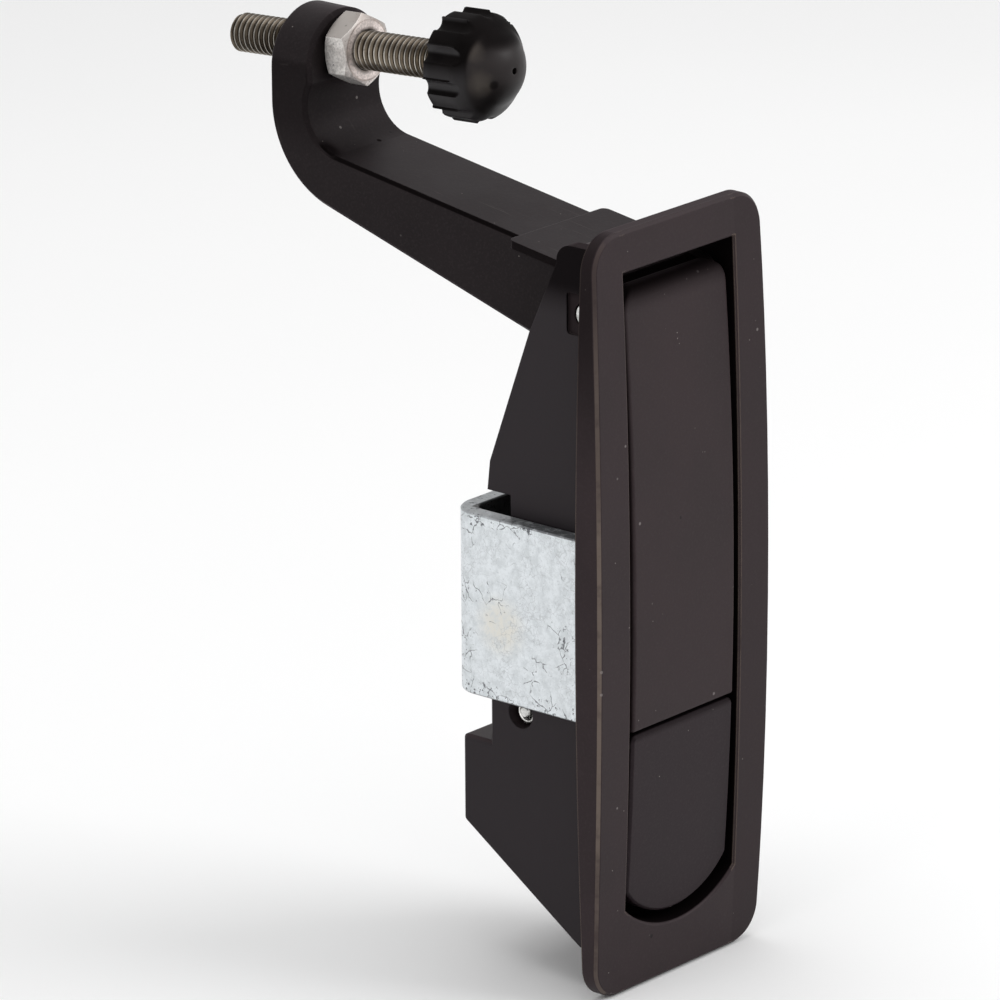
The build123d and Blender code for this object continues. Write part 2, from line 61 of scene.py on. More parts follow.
# Axis of the stud: it tilts up towards the front, and its rear end is the origin of all stud pieces.
TILT = radians(3.1)
STUD_REAR_Y = 83.4
STUD_REAR_Z = 71.5
STUD_REAR = Vector((0, STUD_REAR_Y * MM, STUD_REAR_Z * MM))
FORWARD = Vector((0, -cos(TILT), sin(TILT)))
SIDE = Vector((1, 0, 0))
UP = FORWARD.cross(SIDE)
STUD_FRAME = Matrix((
    (SIDE.x, UP.x, FORWARD.x, STUD_REAR.x),
    (SIDE.y, UP.y, FORWARD.y, STUD_REAR.y),
    (SIDE.z, UP.z, FORWARD.z, STUD_REAR.z),
    (0, 0, 0, 1),
))

# Middle of the lock nut, and places on the bumper's dome with painted reflections and painted shade.
NUT_PLACE = STUD_REAR + FORWARD * (24.1 * MM)
DOME_MIDDLE = STUD_REAR + FORWARD * (47.95 * MM)
REFLECTION_LOW = tuple(DOME_MIDDLE + Vector((-5.3, -4.7, 0.5)) * MM)
REFLECTION_HIGH = tuple(DOME_MIDDLE + Vector((-4.1, -2.2, 5.4)) * MM)
SHADE_SPOT = tuple(DOME_MIDDLE + Vector((-3.5, -6.1, -1.2)) * MM)
SHADE_LOW = tuple(DOME_MIDDLE + Vector((-3.7, -4.5, -4.1)) * MM)

# A corner of painted shade and a small pit on the arm, and a yellowish stain on the strap.
ARM_CORNER = (-0.0080, 0.0582, 0.0588)
ARM_PIT = (0.0022, 0.0570, 0.0586)
STRAP_STAIN = (-0.0179, 0.0165, -0.0040)

# ------------------------------------------------------------------ material helpers


class Mat:
    """One node material, built with short calls. The functions that fill one call it k."""

    def __init__(self, name):
        self.m = bpy.data.materials.new(name)
        self.m.use_nodes = True
        self.t = self.m.node_tree
        self.t.nodes.clear()
        self.out = self.add("ShaderNodeOutputMaterial")
        self.bsdf = self.add("ShaderNodeBsdfPrincipled")
        self.t.links.new(self.bsdf.outputs["BSDF"], self.out.inputs["Surface"])
        self.where = self.add("ShaderNodeTexCoord").outputs["Object"]

    def axes(self):
        """The three object coordinates."""
        n = self.add("ShaderNodeSeparateXYZ")
        self.put(n, "Vector", self.where)
        return n.outputs["X"], n.outputs["Y"], n.outputs["Z"]

    def facing(self):
        """The three parts of the surface's normal."""
        n = self.add("ShaderNodeSeparateXYZ")
        self.put(n, "Vector", self.add("ShaderNodeNewGeometry").outputs["Normal"])
        return n.outputs["X"], n.outputs["Y"], n.outputs["Z"]

    def wobbled(self, scale, amount):
        """Object coordinates pushed about by a noise."""
        n = self.add("ShaderNodeTexNoise")
        self.put(n, "Vector", self.where)
        self.put(n, "Scale", scale)
        push = self.add("ShaderNodeVectorMath", operation="SCALE")
        self.put(push, 0, n.outputs["Color"])
        self.put(push, "Scale", amount)
        moved = self.add("ShaderNodeVectorMath", operation="ADD")
        self.put(moved, 0, self.where)
        self.put(moved, 1, push.outputs["Vector"])
        return moved.outputs["Vector"]

    def near(self, point, inside, outside, vector=None):
        """1 near a point, fading to 0 at the outside distance."""
        n = self.add("ShaderNodeVectorMath", operation="DISTANCE")
        self.put(n, 0, vector or self.where)
        self.put(n, 1, point)
        return self.remap(n.outputs["Value"], outside, inside)

    def times(self, *values):
        """Product of all the values."""
        result = values[0]
        for value in values[1:]:
            result = self.math("MULTIPLY", result, value)
        return result

    def most(self, *values):
        """Largest of the values."""
        result = values[0]
        for value in values[1:]:
            result = self.math("MAXIMUM", result, value)
        return result

    def add(self, kind, **settings):
        """A new node with its settings."""
        n = self.t.nodes.new(kind)
        for key, value in settings.items():
            setattr(n, key, value)
        return n

    def put(self, n, socket, value):
        """Links an output to the socket, or sets the socket's constant."""
        s = n.inputs[socket]
        if isinstance(value, bpy.types.NodeSocket):
            self.t.links.new(value, s)
        else:
            s.default_value = value

    def mapped(self, scale, turn):
        """Object coordinates, scaled and turned."""
        n = self.add("ShaderNodeMapping")
        self.put(n, "Vector", self.where)
        self.put(n, "Scale", scale)
        self.put(n, "Rotation", turn)
        return n.outputs["Vector"]

    def noise(self, scale, detail, rough, vector=None):
        """A cloudy value, mostly from 0.3 to 0.7."""
        n = self.add("ShaderNodeTexNoise")
        self.put(n, "Vector", vector or self.where)
        self.put(n, "Scale", scale)
        self.put(n, "Detail", detail)
        self.put(n, "Roughness", rough)
        return n.outputs["Fac"]

    def cells(self, scale, vector=None, feature="F1"):
        """Distance from the nearest cell's middle, or from its edge."""
        n = self.add("ShaderNodeTexVoronoi", feature=feature)
        self.put(n, "Vector", vector or self.where)
        self.put(n, "Scale", scale)
        return n.outputs["Distance"]

    def cell_value(self, scale, vector=None):
        """A random value for each cell, from 0 to 1."""
        n = self.add("ShaderNodeTexVoronoi")
        self.put(n, "Vector", vector or self.where)
        self.put(n, "Scale", scale)
        split = self.add("ShaderNodeSeparateColor")
        self.put(split, "Color", n.outputs["Color"])
        return split.outputs["Red"]

    def math(self, op, a, b=0.0, clamp=False):
        """The result of one math node."""
        n = self.add("ShaderNodeMath", operation=op, use_clamp=clamp)
        self.put(n, 0, a)
        if op != "ABSOLUTE":
            self.put(n, 1, b)
        return n.outputs[0]

    def remap(self, value, lo, hi, to_lo=0.0, to_hi=1.0):
        """The value moved from one range to another by a smooth step."""
        n = self.add("ShaderNodeMapRange", interpolation_type="SMOOTHSTEP")
        self.put(n, "Value", value)
        self.put(n, "From Min", lo)
        self.put(n, "From Max", hi)
        self.put(n, "To Min", to_lo)
        self.put(n, "To Max", to_hi)
        return n.outputs["Result"]

    def mix(self, factor, a, b):
        """Colour a where the factor is 0, and colour b where it is 1."""
        n = self.add("ShaderNodeMix", data_type="RGBA")
        self.put(n, 0, factor)
        for socket, value in ((6, a), (7, b)):
            self.put(n, socket, value if isinstance(value, bpy.types.NodeSocket) else (*value, 1))
        return n.outputs[2]

    def bump(self, height, distance, strength, normal=None):
        """Normal tipped by a height."""
        n = self.add("ShaderNodeBump")
        self.put(n, "Height", height)
        self.put(n, "Distance", distance)
        self.put(n, "Strength", strength)
        if normal is not None:
            self.put(n, "Normal", normal)
        return n.outputs["Normal"]

    def soft_edges(self, radius):
        """Normal that rounds sharp edges, and a mask that is 1 on them."""
        n = self.add("ShaderNodeBevel", samples=6)
        self.put(n, "Radius", radius)
        geometry = self.add("ShaderNodeNewGeometry")
        dot = self.add("ShaderNodeVectorMath", operation="DOT_PRODUCT")
        self.put(dot, 0, n.outputs["Normal"])
        self.put(dot, 1, geometry.outputs["Normal"])
        mask = self.math("SUBTRACT", 1.0, dot.outputs["Value"], clamp=True)
        return n.outputs["Normal"], mask

    def finish(self, **inputs):
        """Sets the shader's sockets, and gives the material."""
        for key, value in inputs.items():
            self.put(self.bsdf, key.replace("_", " "), value)
        return self.m


# ------------------------------------------------------------------ materials


def powder_coat(
    name, tint=(0.0214, 0.0142, 0.0156), seed=0.0, rubbed=None, shaded=None, shine=0.185, scratched=0.0,
    round_by=0.0003, lit_bevel=None, side_shade=None
):
    """Black satin powder coat: fine orange peel, cloudy tone, dust specks, small pits, pale edges from wear
    and painted highlight.

    rubbed, lit_bevel, side_shade and shaded are functions that give a mask: bare brownish edges, partly
    painted highlight; a painted highlight on a bevel; painted shade in a darker, cooler tone; and painted
    shade that loses gloss.
    """
    k = Mat(name)
    rounded, edge = k.soft_edges(round_by)
    place = k.mapped((1, 1, 1), (seed, seed * 0.7, seed * 1.3))
    clouds = k.noise(60, 4, 0.6, place)
    grit = k.noise(2600, 2, 0.6, place)
    peel = k.noise(1500, 2, 0.5, place)
    dust_size = k.cells(520, place)
    dust_pick = k.cell_value(520, place)
    dust = k.times(k.remap(dust_size, 0.15, 0.09), k.remap(dust_pick, 0.962, 0.97))
    pit_size = k.cells(310, place)
    pit_pick = k.cell_value(310, place)
    pits = k.times(k.remap(pit_size, 0.13, 0.08), k.remap(pit_pick, 0.025, 0.018))
    dark = tuple(c * 0.86 for c in tint)
    light = tuple(c * 1.14 for c in tint)
    colour = k.mix(k.remap(clouds, 0.3, 0.7), dark, light)
    colour = k.mix(k.times(k.remap(grit, 0.45, 0.75), 0.2), colour, (0.042, 0.033, 0.034))
    # Pale edges: wear, and painted highlight along the edges.
    worn = k.times(k.remap(edge, 0.03, 0.25), k.remap(k.noise(240, 3, 0.6, place), 0.46, 0.70))
    colour = k.mix(k.times(worn, 0.3), colour, (0.16, 0.13, 0.12))
    # Rubbed bare edges; on the flange's rear left edge the light line is also painted highlight.
    if rubbed is not None:
        line = k.times(k.remap(edge, 0.01, 0.06), rubbed(k))
        line = k.times(line, k.remap(k.noise(130, 3, 0.6, place), 0.25, 0.5, 0.35, 1.0))
        colour = k.mix(k.times(line, 0.85), colour, (0.27, 0.21, 0.165))
    # Painted highlight along a bevel.
    if lit_bevel is not None:
        broken = k.remap(k.noise(260, 3, 0.7, place), 0.25, 0.55, 0.45, 1.0)
        colour = k.mix(k.times(lit_bevel(k), broken), colour, (0.27, 0.215, 0.175))
    colour = k.mix(k.times(dust, 0.4), colour, (0.34, 0.31, 0.30))
    speck_pick = k.remap(k.cell_value(1300, place), 0.978, 0.984)
    speck = k.times(k.remap(k.cells(1300, place), 0.16, 0.08), speck_pick)
    colour = k.mix(k.times(speck, 0.45), colour, (0.40, 0.36, 0.34))
    if scratched:
        long_marks = k.remap(k.noise(70, 4, 0.7, k.mapped((22, 1, 1), (0.0, 0.0, 0.12))), 0.61, 0.70)
        cross_marks = k.remap(k.noise(60, 4, 0.7, k.mapped((9, 3, 1), (0.0, 0.0, 0.62))), 0.66, 0.73)
        in_places = k.remap(k.noise(95, 2, 0.5, place), 0.42, 0.60)
        marks = k.times(k.most(long_marks, k.times(cross_marks, 0.7)), in_places, scratched)
        colour = k.mix(marks, colour, (0.060, 0.052, 0.050))
    colour = k.mix(k.times(pits, 0.9), colour, (0.004, 0.004, 0.004))
    rough = k.remap(clouds, 0.25, 0.75, 0.46, 0.54)
    # Painted shade: a darker, cooler tone on the side walls.
    if side_shade is not None:
        colour = k.mix(side_shade(k), colour, (0.0148, 0.0136, 0.0156))
    painted_shade = 0.0
    # Painted shade: the masked places turn near-black and lose their gloss.
    if shaded is not None:
        painted_shade = shaded(k)
        colour = k.mix(painted_shade, colour, (0.0022, 0.0016, 0.0016))
        rough = k.most(rough, k.times(painted_shade, 0.95))
    height = k.math("ADD", peel, k.times(grit, 0.35))
    height = k.math("SUBTRACT", height, k.times(pits, 1.5))
    height = k.math("ADD", height, k.times(dust, 0.8))
    normal = k.bump(height, 0.000012, 0.7, rounded)
    return k.finish(
        Base_Color=colour, Roughness=rough, Metallic=painted_shade, Specular_IOR_Level=shine,
        Specular_Tint=(1, 0.87, 0.91, 1), Normal=normal,
    )


def band(k, value, start, end, soft):
    """1 between start and end, fading over the soft distance."""
    return k.times(k.remap(value, start - soft, start), k.remap(value, end + soft, end))


def crown_depth(k, y, z):
    """Distance behind the crowned front face of the flange, in metres."""
    return k.math("SUBTRACT", k.math("SUBTRACT", y, FRONT_Y), k.times(z, z, CROWN))


def flange_rub_and_highlight(k):
    """Rubbed edges of the flange: its rear left edge, whose light line is partly painted highlight, and the
    side edges of its opening.
    """
    x, y, z = k.axes()
    depth = crown_depth(k, y, z)
    # The rear left edge's light line: rubbing and painted highlight.
    back_rim_highlight = k.times(k.remap(x, -0.0165, -0.0172), band(k, y, -0.0003, 0.0002, 0.0001), 0.35)
    side = k.math("ABSOLUTE", x)
    mouth = k.times(band(k, side, 0.0122, 0.0131, 0.0002), k.remap(x, -0.005, 0.005, 0.25, 0.6))
    return k.most(back_rim_highlight, k.times(mouth, k.remap(depth, 0.0006, 0.0004)))


def flange_bevel_highlight(k):
    """Painted highlight on the bevel round the flange's front face: a thin line down the left side."""
    x, y, z = k.axes()
    depth = crown_depth(k, y, z)
    bevel = k.times(k.remap(x, -0.0160, -0.0168), band(k, depth, 0.00008, 0.00044, 0.00005))
    brightest = k.times(band(k, z, -0.030, 0.012, 0.016), 0.44)
    return k.times(bevel, k.most(brightest, k.remap(z, 0.054, 0.034, 0.08, 0.26)))


def housing_shade(k):
    """Shaded parts of the housing.

    They are its inside, the pin pockets, the tops of the ears, the flange's upper rim, and a little of the
    right-hand side of its front.
    """
    x, y, z = k.axes()
    side = k.math("ABSOLUTE", x)
    height = k.math("ABSOLUTE", z)
    depth = crown_depth(k, y, z)
    inside_shade = k.times(k.remap(side, 0.01275, 0.01262), k.remap(depth, 0.0002, 0.0006))
    inside_shade = k.times(inside_shade, k.remap(y, 0.0150, 0.0145), k.remap(height, 0.0532, 0.0530), 0.9)
    pocket = k.times(band(k, side, 0.0127, 0.01485, 0.0001), band(k, y, 0.0003, 0.0063, 0.0001))
    pocket = k.times(pocket, band(k, z, 0.0420, 0.0488, 0.0001), 0.5)
    ears = k.times(k.remap(side, 0.0124, 0.0126), k.remap(y, 0.0003, 0.0006), k.remap(z, 0.0440, 0.0500), 0.8)
    outside = k.most(k.remap(side, 0.0146, 0.0152), k.remap(z, 0.0545, 0.0550))
    rim = k.times(outside, k.remap(depth, 0.0004, 0.0007), k.remap(y, 0.0003, 0.0001))
    rim = k.times(rim, k.remap(z, 0.018, 0.048), 0.62)
    front = k.remap(depth, 0.0006, 0.0004)
    right_front = k.times(front, k.remap(x, 0.0126, 0.0130), k.remap(z, 0.020, -0.045, 0.09, 0.15))
    return k.most(inside_shade, pocket, ears, rim, right_front)


def side_wall_shade(k):
    """Outer side walls of the body: painted shade, in a darker and cooler tone than the front."""
    x, y = k.axes()[:2]
    return k.times(k.remap(k.math("ABSOLUTE", x), 0.0146, 0.0149), k.remap(y, 0.0002, 0.0006), 0.75)


def arm_shade(k):
    """Painted shade on the arm: its root, bevelled long edges, upright's sides, lip rims, a corner, the
    places by the nut and a little on its top face; also a small dark pit.
    """
    x, y, z = k.axes()
    side = k.math("ABSOLUTE", x)
    bevel = k.times(band(k, side, 0.00806, 0.00846, 0.0001), k.remap(y, 0.0206, 0.0210))
    bevel = k.times(bevel, k.remap(z, 0.0690, 0.0682), 0.85, k.remap(y, 0.0590, 0.0560, 0.35, 1.0))
    root = k.times(k.remap(y, 0.0088, 0.0080), 0.93)
    sides = k.times(k.remap(side, 0.0083, 0.00855), k.remap(z, 0.0560, 0.0640), 0.42)
    lip_rim = k.times(k.remap(side, 0.01085, 0.01095), k.remap(y, 0.0210, 0.0205), 0.7)
    behind_nut = k.times(k.near(tuple(NUT_PLACE), 0.0058, 0.0085), k.remap(side, 0.0083, 0.0080), 0.6)
    corner = k.times(k.near(ARM_CORNER, 0.0010, 0.0034), k.remap(side, 0.00835, 0.00825), 0.85)
    pit = k.times(k.near(ARM_PIT, 0.0003, 0.0005), 0.95)
    top = k.remap(k.facing()[2], 0.80, 0.95, 0.0, 0.16)
    return k.most(bevel, root, sides, lip_rim, behind_nut, corner, pit, top)


def handle_rub(k):
    """Right-hand edge of the handle."""
    return k.times(k.remap(k.axes()[0], 0.0110, 0.0113), 0.4)


def handle_shade(k):
    """Top of the handle, in the shade of the opening."""
    return k.times(k.remap(k.axes()[2], 0.0452, 0.0494), 0.92)


def trigger_shade(k):
    """Top of the trigger, behind the end of the handle."""
    return k.times(k.remap(k.axes()[2], -0.0197, -0.0186), 0.6)


def zinc_plate():
    """Bright bluish zinc: fine speckle, hairline cracks, dark nicks near the edges, one yellowish patch, and
    painted shade on its inside faces.
    """
    k = Mat("zinc_plate")
    rounded = k.soft_edges(0.0003)[0]
    x, y, z = k.axes()
    side = k.math("ABSOLUTE", x)
    bloom = k.noise(560, 5, 0.72)
    fine = k.noise(1900, 3, 0.7)
    cloud = k.noise(60, 3, 0.5)
    zone = k.noise(130, 2, 0.5, k.mapped((1, 1, 1), (1.0, 2.0, 0.4)))
    top_edge = k.remap(z, 0.0088, 0.0122)
    low_edge = k.remap(z, -0.0118, -0.0154)
    front_edge = k.remap(y, 0.0085, 0.0025)
    bend = k.times(k.remap(y, 0.0205, 0.0250), k.remap(side, 0.0125, 0.0150))
    worn = k.times(k.most(top_edge, low_edge, k.times(front_edge, 0.6), k.times(bend, 0.7)), 0.09)
    crack_at = k.cells(330, k.wobbled(500, 0.0026), "DISTANCE_TO_EDGE")
    crack_zone = k.math("ADD", zone, worn)
    broken = k.remap(k.noise(1100, 2, 0.6), 0.36, 0.50)
    cracks = k.times(k.remap(crack_at, 0.030, 0.012), k.remap(crack_zone, 0.50, 0.57), broken)
    web_at = k.cells(900, k.wobbled(700, 0.002), "DISTANCE_TO_EDGE")
    web = k.times(k.remap(web_at, 0.05, 0.02), k.remap(zone, 0.50, 0.40))
    nick_shape = k.math("ADD", k.noise(1300, 3, 0.75), worn)
    nicks = k.times(k.remap(nick_shape, 0.655, 0.70), k.remap(crack_zone, 0.46, 0.58))
    drawn = k.noise(160, 4, 0.75, k.mapped((1, 1, 20), (0.5, 0.35, 0.0)))
    hair = k.remap(drawn, 0.64, 0.70)
    colour = k.mix(k.remap(bloom, 0.36, 0.62), (0.635, 0.67, 0.69), (0.78, 0.815, 0.84))
    colour = k.mix(k.remap(fine, 0.60, 0.70, 0.0, 0.5), colour, (0.90, 0.93, 0.95))
    colour = k.mix(k.remap(fine, 0.42, 0.32, 0.0, 0.5), colour, (0.46, 0.49, 0.51))
    colour = k.mix(k.remap(cloud, 0.5, 0.75, 0.0, 0.25), colour, (0.66, 0.69, 0.71))
    stain = k.times(k.near(STRAP_STAIN, 0.0015, 0.0058), k.remap(bloom, 0.35, 0.6, 0.25, 0.75))
    colour = k.mix(stain, colour, (0.74, 0.71, 0.63))
    colour = k.mix(k.times(hair, 0.3), colour, (0.46, 0.48, 0.50))
    colour = k.mix(k.times(web, 0.35), colour, (0.34, 0.35, 0.36))
    colour = k.mix(k.times(cracks, 0.8), colour, (0.09, 0.09, 0.10))
    colour = k.mix(k.times(nicks, 0.85), colour, (0.06, 0.06, 0.07))
    sheared = k.most(k.remap(z, 0.0121, 0.01225), k.remap(z, -0.0154, -0.0156))
    edge_tone = k.mix(k.remap(y, 0.010, 0.021), (0.05, 0.05, 0.055), (0.30, 0.31, 0.32))
    edge_tone = k.mix(k.remap(k.noise(700, 3, 0.7), 0.52, 0.64, 0.0, 0.7), edge_tone, (0.42, 0.44, 0.45))
    edge_tone = k.mix(k.remap(k.noise(900, 3, 0.7), 0.42, 0.34), edge_tone, (0.03, 0.03, 0.035))
    colour = k.mix(k.times(sheared, 0.85), colour, edge_tone)
    # Painted shade on the strap's inside faces.
    inside_shade = k.times(k.remap(side, 0.0154, 0.0153), k.remap(y, 0.0243, 0.0241), k.remap(y, 0.0018, 0.0022))
    colour = k.mix(k.times(inside_shade, 0.9), colour, (0.02, 0.02, 0.021))
    rough = k.remap(bloom, 0.3, 0.7, 0.42, 0.56)
    height = k.math("ADD", k.times(bloom, 0.7), k.times(fine, 0.4))
    height = k.math("SUBTRACT", height, k.times(nicks, 0.8))
    height = k.math("SUBTRACT", height, k.times(cracks, 0.7))
    normal = k.bump(height, 0.00003, 0.6, rounded)
    return k.finish(Base_Color=colour, Roughness=rough, Metallic=0.72, Normal=normal)


def steel(name, low, high, rough_low, rough_high, along, grime=0.0):
    """Machined or plated steel: directional grain, mottled tone, pale edges, and dark spots of grime."""
    k = Mat(name)
    rounded, edge = k.soft_edges(0.00012)
    grain = k.noise(900, 4, 0.65, k.mapped(along, (0, 0, 0)))
    cloud = k.noise(170, 3, 0.6)
    fine = k.noise(3200, 2, 0.5)
    colour = k.mix(k.remap(grain, 0.35, 0.65), low, high)
    colour = k.mix(k.remap(cloud, 0.5, 0.8, 0.0, 0.3), colour, tuple(c * 0.75 for c in low))
    colour = k.mix(k.times(k.remap(edge, 0.03, 0.3), 0.35), colour, (0.9, 0.89, 0.87))
    if grime:
        spots = k.times(k.remap(k.noise(800, 3, 0.7), 0.6, 0.7), grime)
        colour = k.mix(spots, colour, (0.05, 0.045, 0.04))
    rough = k.remap(grain, 0.3, 0.7, rough_low, rough_high)
    height = k.math("ADD", k.times(grain, 0.7), k.times(fine, 0.3))
    normal = k.bump(height, 0.000012, 0.8, rounded)
    return k.finish(Base_Color=colour, Roughness=rough, Metallic=1.0, Normal=normal)


def distance_from_axis(k):
    """Distance from the stud's axis, in metres."""
    offset = k.add("ShaderNodeVectorMath", operation="SUBTRACT")
    k.put(offset, 0, k.where)
    k.put(offset, 1, tuple(STUD_REAR))
    across = k.add("ShaderNodeVectorMath", operation="CROSS_PRODUCT")
    k.put(across, 0, offset.outputs["Vector"])
    k.put(across, 1, tuple(FORWARD))
    length = k.add("ShaderNodeVectorMath", operation="LENGTH")
    k.put(length, 0, across.outputs["Vector"])
    return length.outputs["Value"]


def thread_steel():
    """Rolled stainless thread: thin bright crests, brownish flanks, dark roots, and painted shade on its top
    and rear end.
    """
    k = Mat("stud_steel")
    radius = distance_from_axis(k)
    up = k.facing()[2]
    cloud = k.noise(300, 4, 0.6)
    fine = k.noise(3000, 2, 0.5)
    colour = k.mix(k.remap(cloud, 0.35, 0.65), (0.20, 0.165, 0.125), (0.32, 0.27, 0.21))
    colour = k.mix(k.remap(radius, 0.00288, 0.00297), colour, (0.66, 0.62, 0.56))
    colour = k.mix(k.remap(radius, 0.00268, 0.00250, 0.0, 0.92), colour, (0.022, 0.017, 0.013))
    shade_above = k.remap(up, 0.10, 0.62, 0.0, 0.88)
    shade_behind = k.remap(k.axes()[1], 0.0670, 0.0700, 0.0, 0.50)
    colour = k.mix(k.most(shade_above, shade_behind), colour, (0.030, 0.024, 0.019))
    spots = k.times(k.remap(k.noise(900, 3, 0.7), 0.58, 0.68), 0.5)
    colour = k.mix(spots, colour, (0.06, 0.05, 0.04))
    rough = k.remap(radius, 0.0025, 0.0029, 0.5, 0.32)
    normal = k.bump(fine, 0.00001, 0.6)
    return k.finish(Base_Color=colour, Roughness=rough, Metallic=1.0, Normal=normal)


def nut_plate():
    """Plated nut: fine pale speckle, painted light and shade on its hex faces, painted highlights on its
    corners, a warm painted highlight on its front ring, and painted shade beside the thread.
    """
    k = Mat("nut_steel")
    rounded, edge = k.soft_edges(0.00016)
    radius = distance_from_axis(k)
    rear, up = k.facing()[1:]
    speckle = k.noise(2600, 3, 0.7)
    patches = k.noise(420, 3, 0.6)
    # Painted light and shade: the lower hex faces light, the upper ones dark, and the front ring warm and
    # bright.
    flats_lit_and_shaded = k.mix(k.remap(up, -0.2, 0.45), (0.97, 0.935, 0.90), (0.32, 0.295, 0.275))
    colour = k.mix(k.remap(rear, -0.82, -0.95), flats_lit_and_shaded, (0.90, 0.80, 0.76))
    colour = k.mix(k.remap(speckle, 0.38, 0.60, 0.45, 0.0), colour, (0.30, 0.275, 0.26))
    colour = k.mix(k.remap(patches, 0.55, 0.75, 0.0, 0.3), colour, (0.42, 0.36, 0.33))
    # Painted highlight on the nut's corners and edges.
    colour = k.mix(k.times(k.remap(edge, 0.02, 0.15), 0.75), colour, (0.93, 0.90, 0.87))
    turned = k.times(band(k, radius, 0.00448, 0.00464, 0.00012), k.remap(rear, -0.80, -0.93))
    colour = k.mix(k.times(turned, k.remap(patches, 0.3, 0.55, 0.15, 0.55)), colour, (0.20, 0.145, 0.115))
    stained = k.times(k.remap(k.noise(240, 3, 0.6), 0.50, 0.68), k.remap(edge, 0.10, 0.0), 0.35)
    colour = k.mix(stained, colour, (0.24, 0.20, 0.18))
    # Painted shade round the bore, beside the thread.
    shade_by_thread = k.times(k.remap(radius, 0.0038, 0.0031), k.remap(patches, 0.3, 0.6, 0.5, 1.0))
    colour = k.mix(k.times(shade_by_thread, 0.85), colour, (0.05, 0.035, 0.025))
    specks = k.remap(k.noise(1500, 3, 0.75), 0.64, 0.70)
    colour = k.mix(k.times(specks, 0.7), colour, (0.05, 0.045, 0.04))
    rough = k.remap(speckle, 0.3, 0.7, 0.40, 0.52)
    normal = k.bump(speckle, 0.00002, 0.8, rounded)
    return k.finish(Base_Color=colour, Roughness=rough, Metallic=0.75, Normal=normal)


def black_rubber():
    """Moulded rubber: dark brownish tone with painted sheen, painted reflections and painted shade; without
    gloss except where the sheen is painted.
    """
    k = Mat("black_rubber")
    rounded, edge = k.soft_edges(0.0003)
    up = k.facing()[2]
    cloud = k.noise(220, 4, 0.6)
    fine = k.noise(2400, 3, 0.6)
    dust = k.times(k.remap(k.cells(520), 0.15, 0.09), k.remap(k.cell_value(520), 0.94, 0.955))
    dome = k.remap(k.axes()[1], 0.0326, 0.0318)
    # Painted sheen: a lighter band round the dome's middle, and lighter lower faces on the skirt; these keep
    # their gloss.
    level = k.times(k.remap(up, 0.75, 0.30), k.remap(up, -0.55, -0.05))
    low_level = k.times(k.remap(up, 0.35, -0.10), k.remap(up, -1.02, -0.86))
    colour = k.mix(k.remap(cloud, 0.3, 0.7), (0.0042, 0.0032, 0.0032), (0.0075, 0.0060, 0.0060))
    colour = k.mix(k.times(level, dome, 0.55), colour, (0.026, 0.020, 0.020))
    colour = k.mix(k.times(low_level, k.math("SUBTRACT", 1.0, dome), 0.85), colour, (0.0250, 0.0228, 0.0240))
    # Painted reflections: two warm patches on the dome.
    rippled = k.wobbled(230, 0.003)
    reflection_high = k.times(k.near(REFLECTION_HIGH, 0.0006, 0.0026, rippled), 0.7)
    worn = k.most(k.near(REFLECTION_LOW, 0.0014, 0.0036, rippled), reflection_high)
    colour = k.mix(k.times(worn, dome, 0.85), colour, (0.060, 0.050, 0.042))
    # Painted shade: a dark spot and a dark patch low on the dome, which also lose gloss.
    shade_patches = k.most(k.near(SHADE_SPOT, 0.0003, 0.0011), k.near(SHADE_LOW, 0.0010, 0.0032, rippled))
    shade_patches = k.times(shade_patches, dome)
    colour = k.mix(k.times(shade_patches, 0.7), colour, (0.004, 0.003, 0.003))
    colour = k.mix(k.times(k.remap(edge, 0.03, 0.3), 0.3), colour, (0.035, 0.032, 0.032))
    colour = k.mix(k.times(dust, 0.4), colour, (0.3, 0.3, 0.3))
    glossy = k.most(k.times(level, dome), k.times(low_level, 0.72))
    glossy = k.times(glossy, k.remap(shade_patches, 0.0, 1.0, 1.0, 0.3))
    rough = k.most(k.remap(cloud, 0.3, 0.7, 0.36, 0.48), k.remap(glossy, 0.0, 1.0, 0.85, 0.3))
    normal = k.bump(fine, 0.000015, 0.7, rounded)
    metal = k.remap(glossy, 0.0, 1.0, 0.85, 0.0)
    return k.finish(
        Base_Color=colour, Roughness=rough, Metallic=metal, Specular_IOR_Level=0.19, Normal=normal
    )


coat_housing = powder_coat(
    "powder_coat_housing", rubbed=flange_rub_and_highlight, shaded=housing_shade, lit_bevel=flange_bevel_highlight, side_shade=side_wall_shade
)
coat_handle = powder_coat(
    "powder_coat_handle", (0.0215, 0.0143, 0.0155), 1.1, rubbed=handle_rub, shaded=handle_shade,
    round_by=0.0005
)
coat_trigger = powder_coat("powder_coat_trigger", (0.0132, 0.0084, 0.0104), seed=2.3, shaded=trigger_shade)
coat_arm = powder_coat(
    "powder_coat_arm", (0.0118, 0.0093, 0.0099), 3.7, shaded=arm_shade, shine=0.085, scratched=0.55
)
zinc = zinc_plate()
screw_zinc = steel("screw_zinc", (0.56, 0.58, 0.59), (0.76, 0.78, 0.80), 0.26, 0.40, (1, 1, 6), grime=0.35)
stud_steel = thread_steel()
nut_steel = nut_plate()
pin_steel = steel("pin_steel", (0.42, 0.42, 0.40), (0.78, 0.78, 0.77), 0.18, 0.32, (9, 1, 1), grime=0.5)
spring_steel = steel("spring_steel", (0.55, 0.54, 0.52), (0.78, 0.77, 0.75), 0.16, 0.30, (1, 1, 1))
rubber = black_rubber()

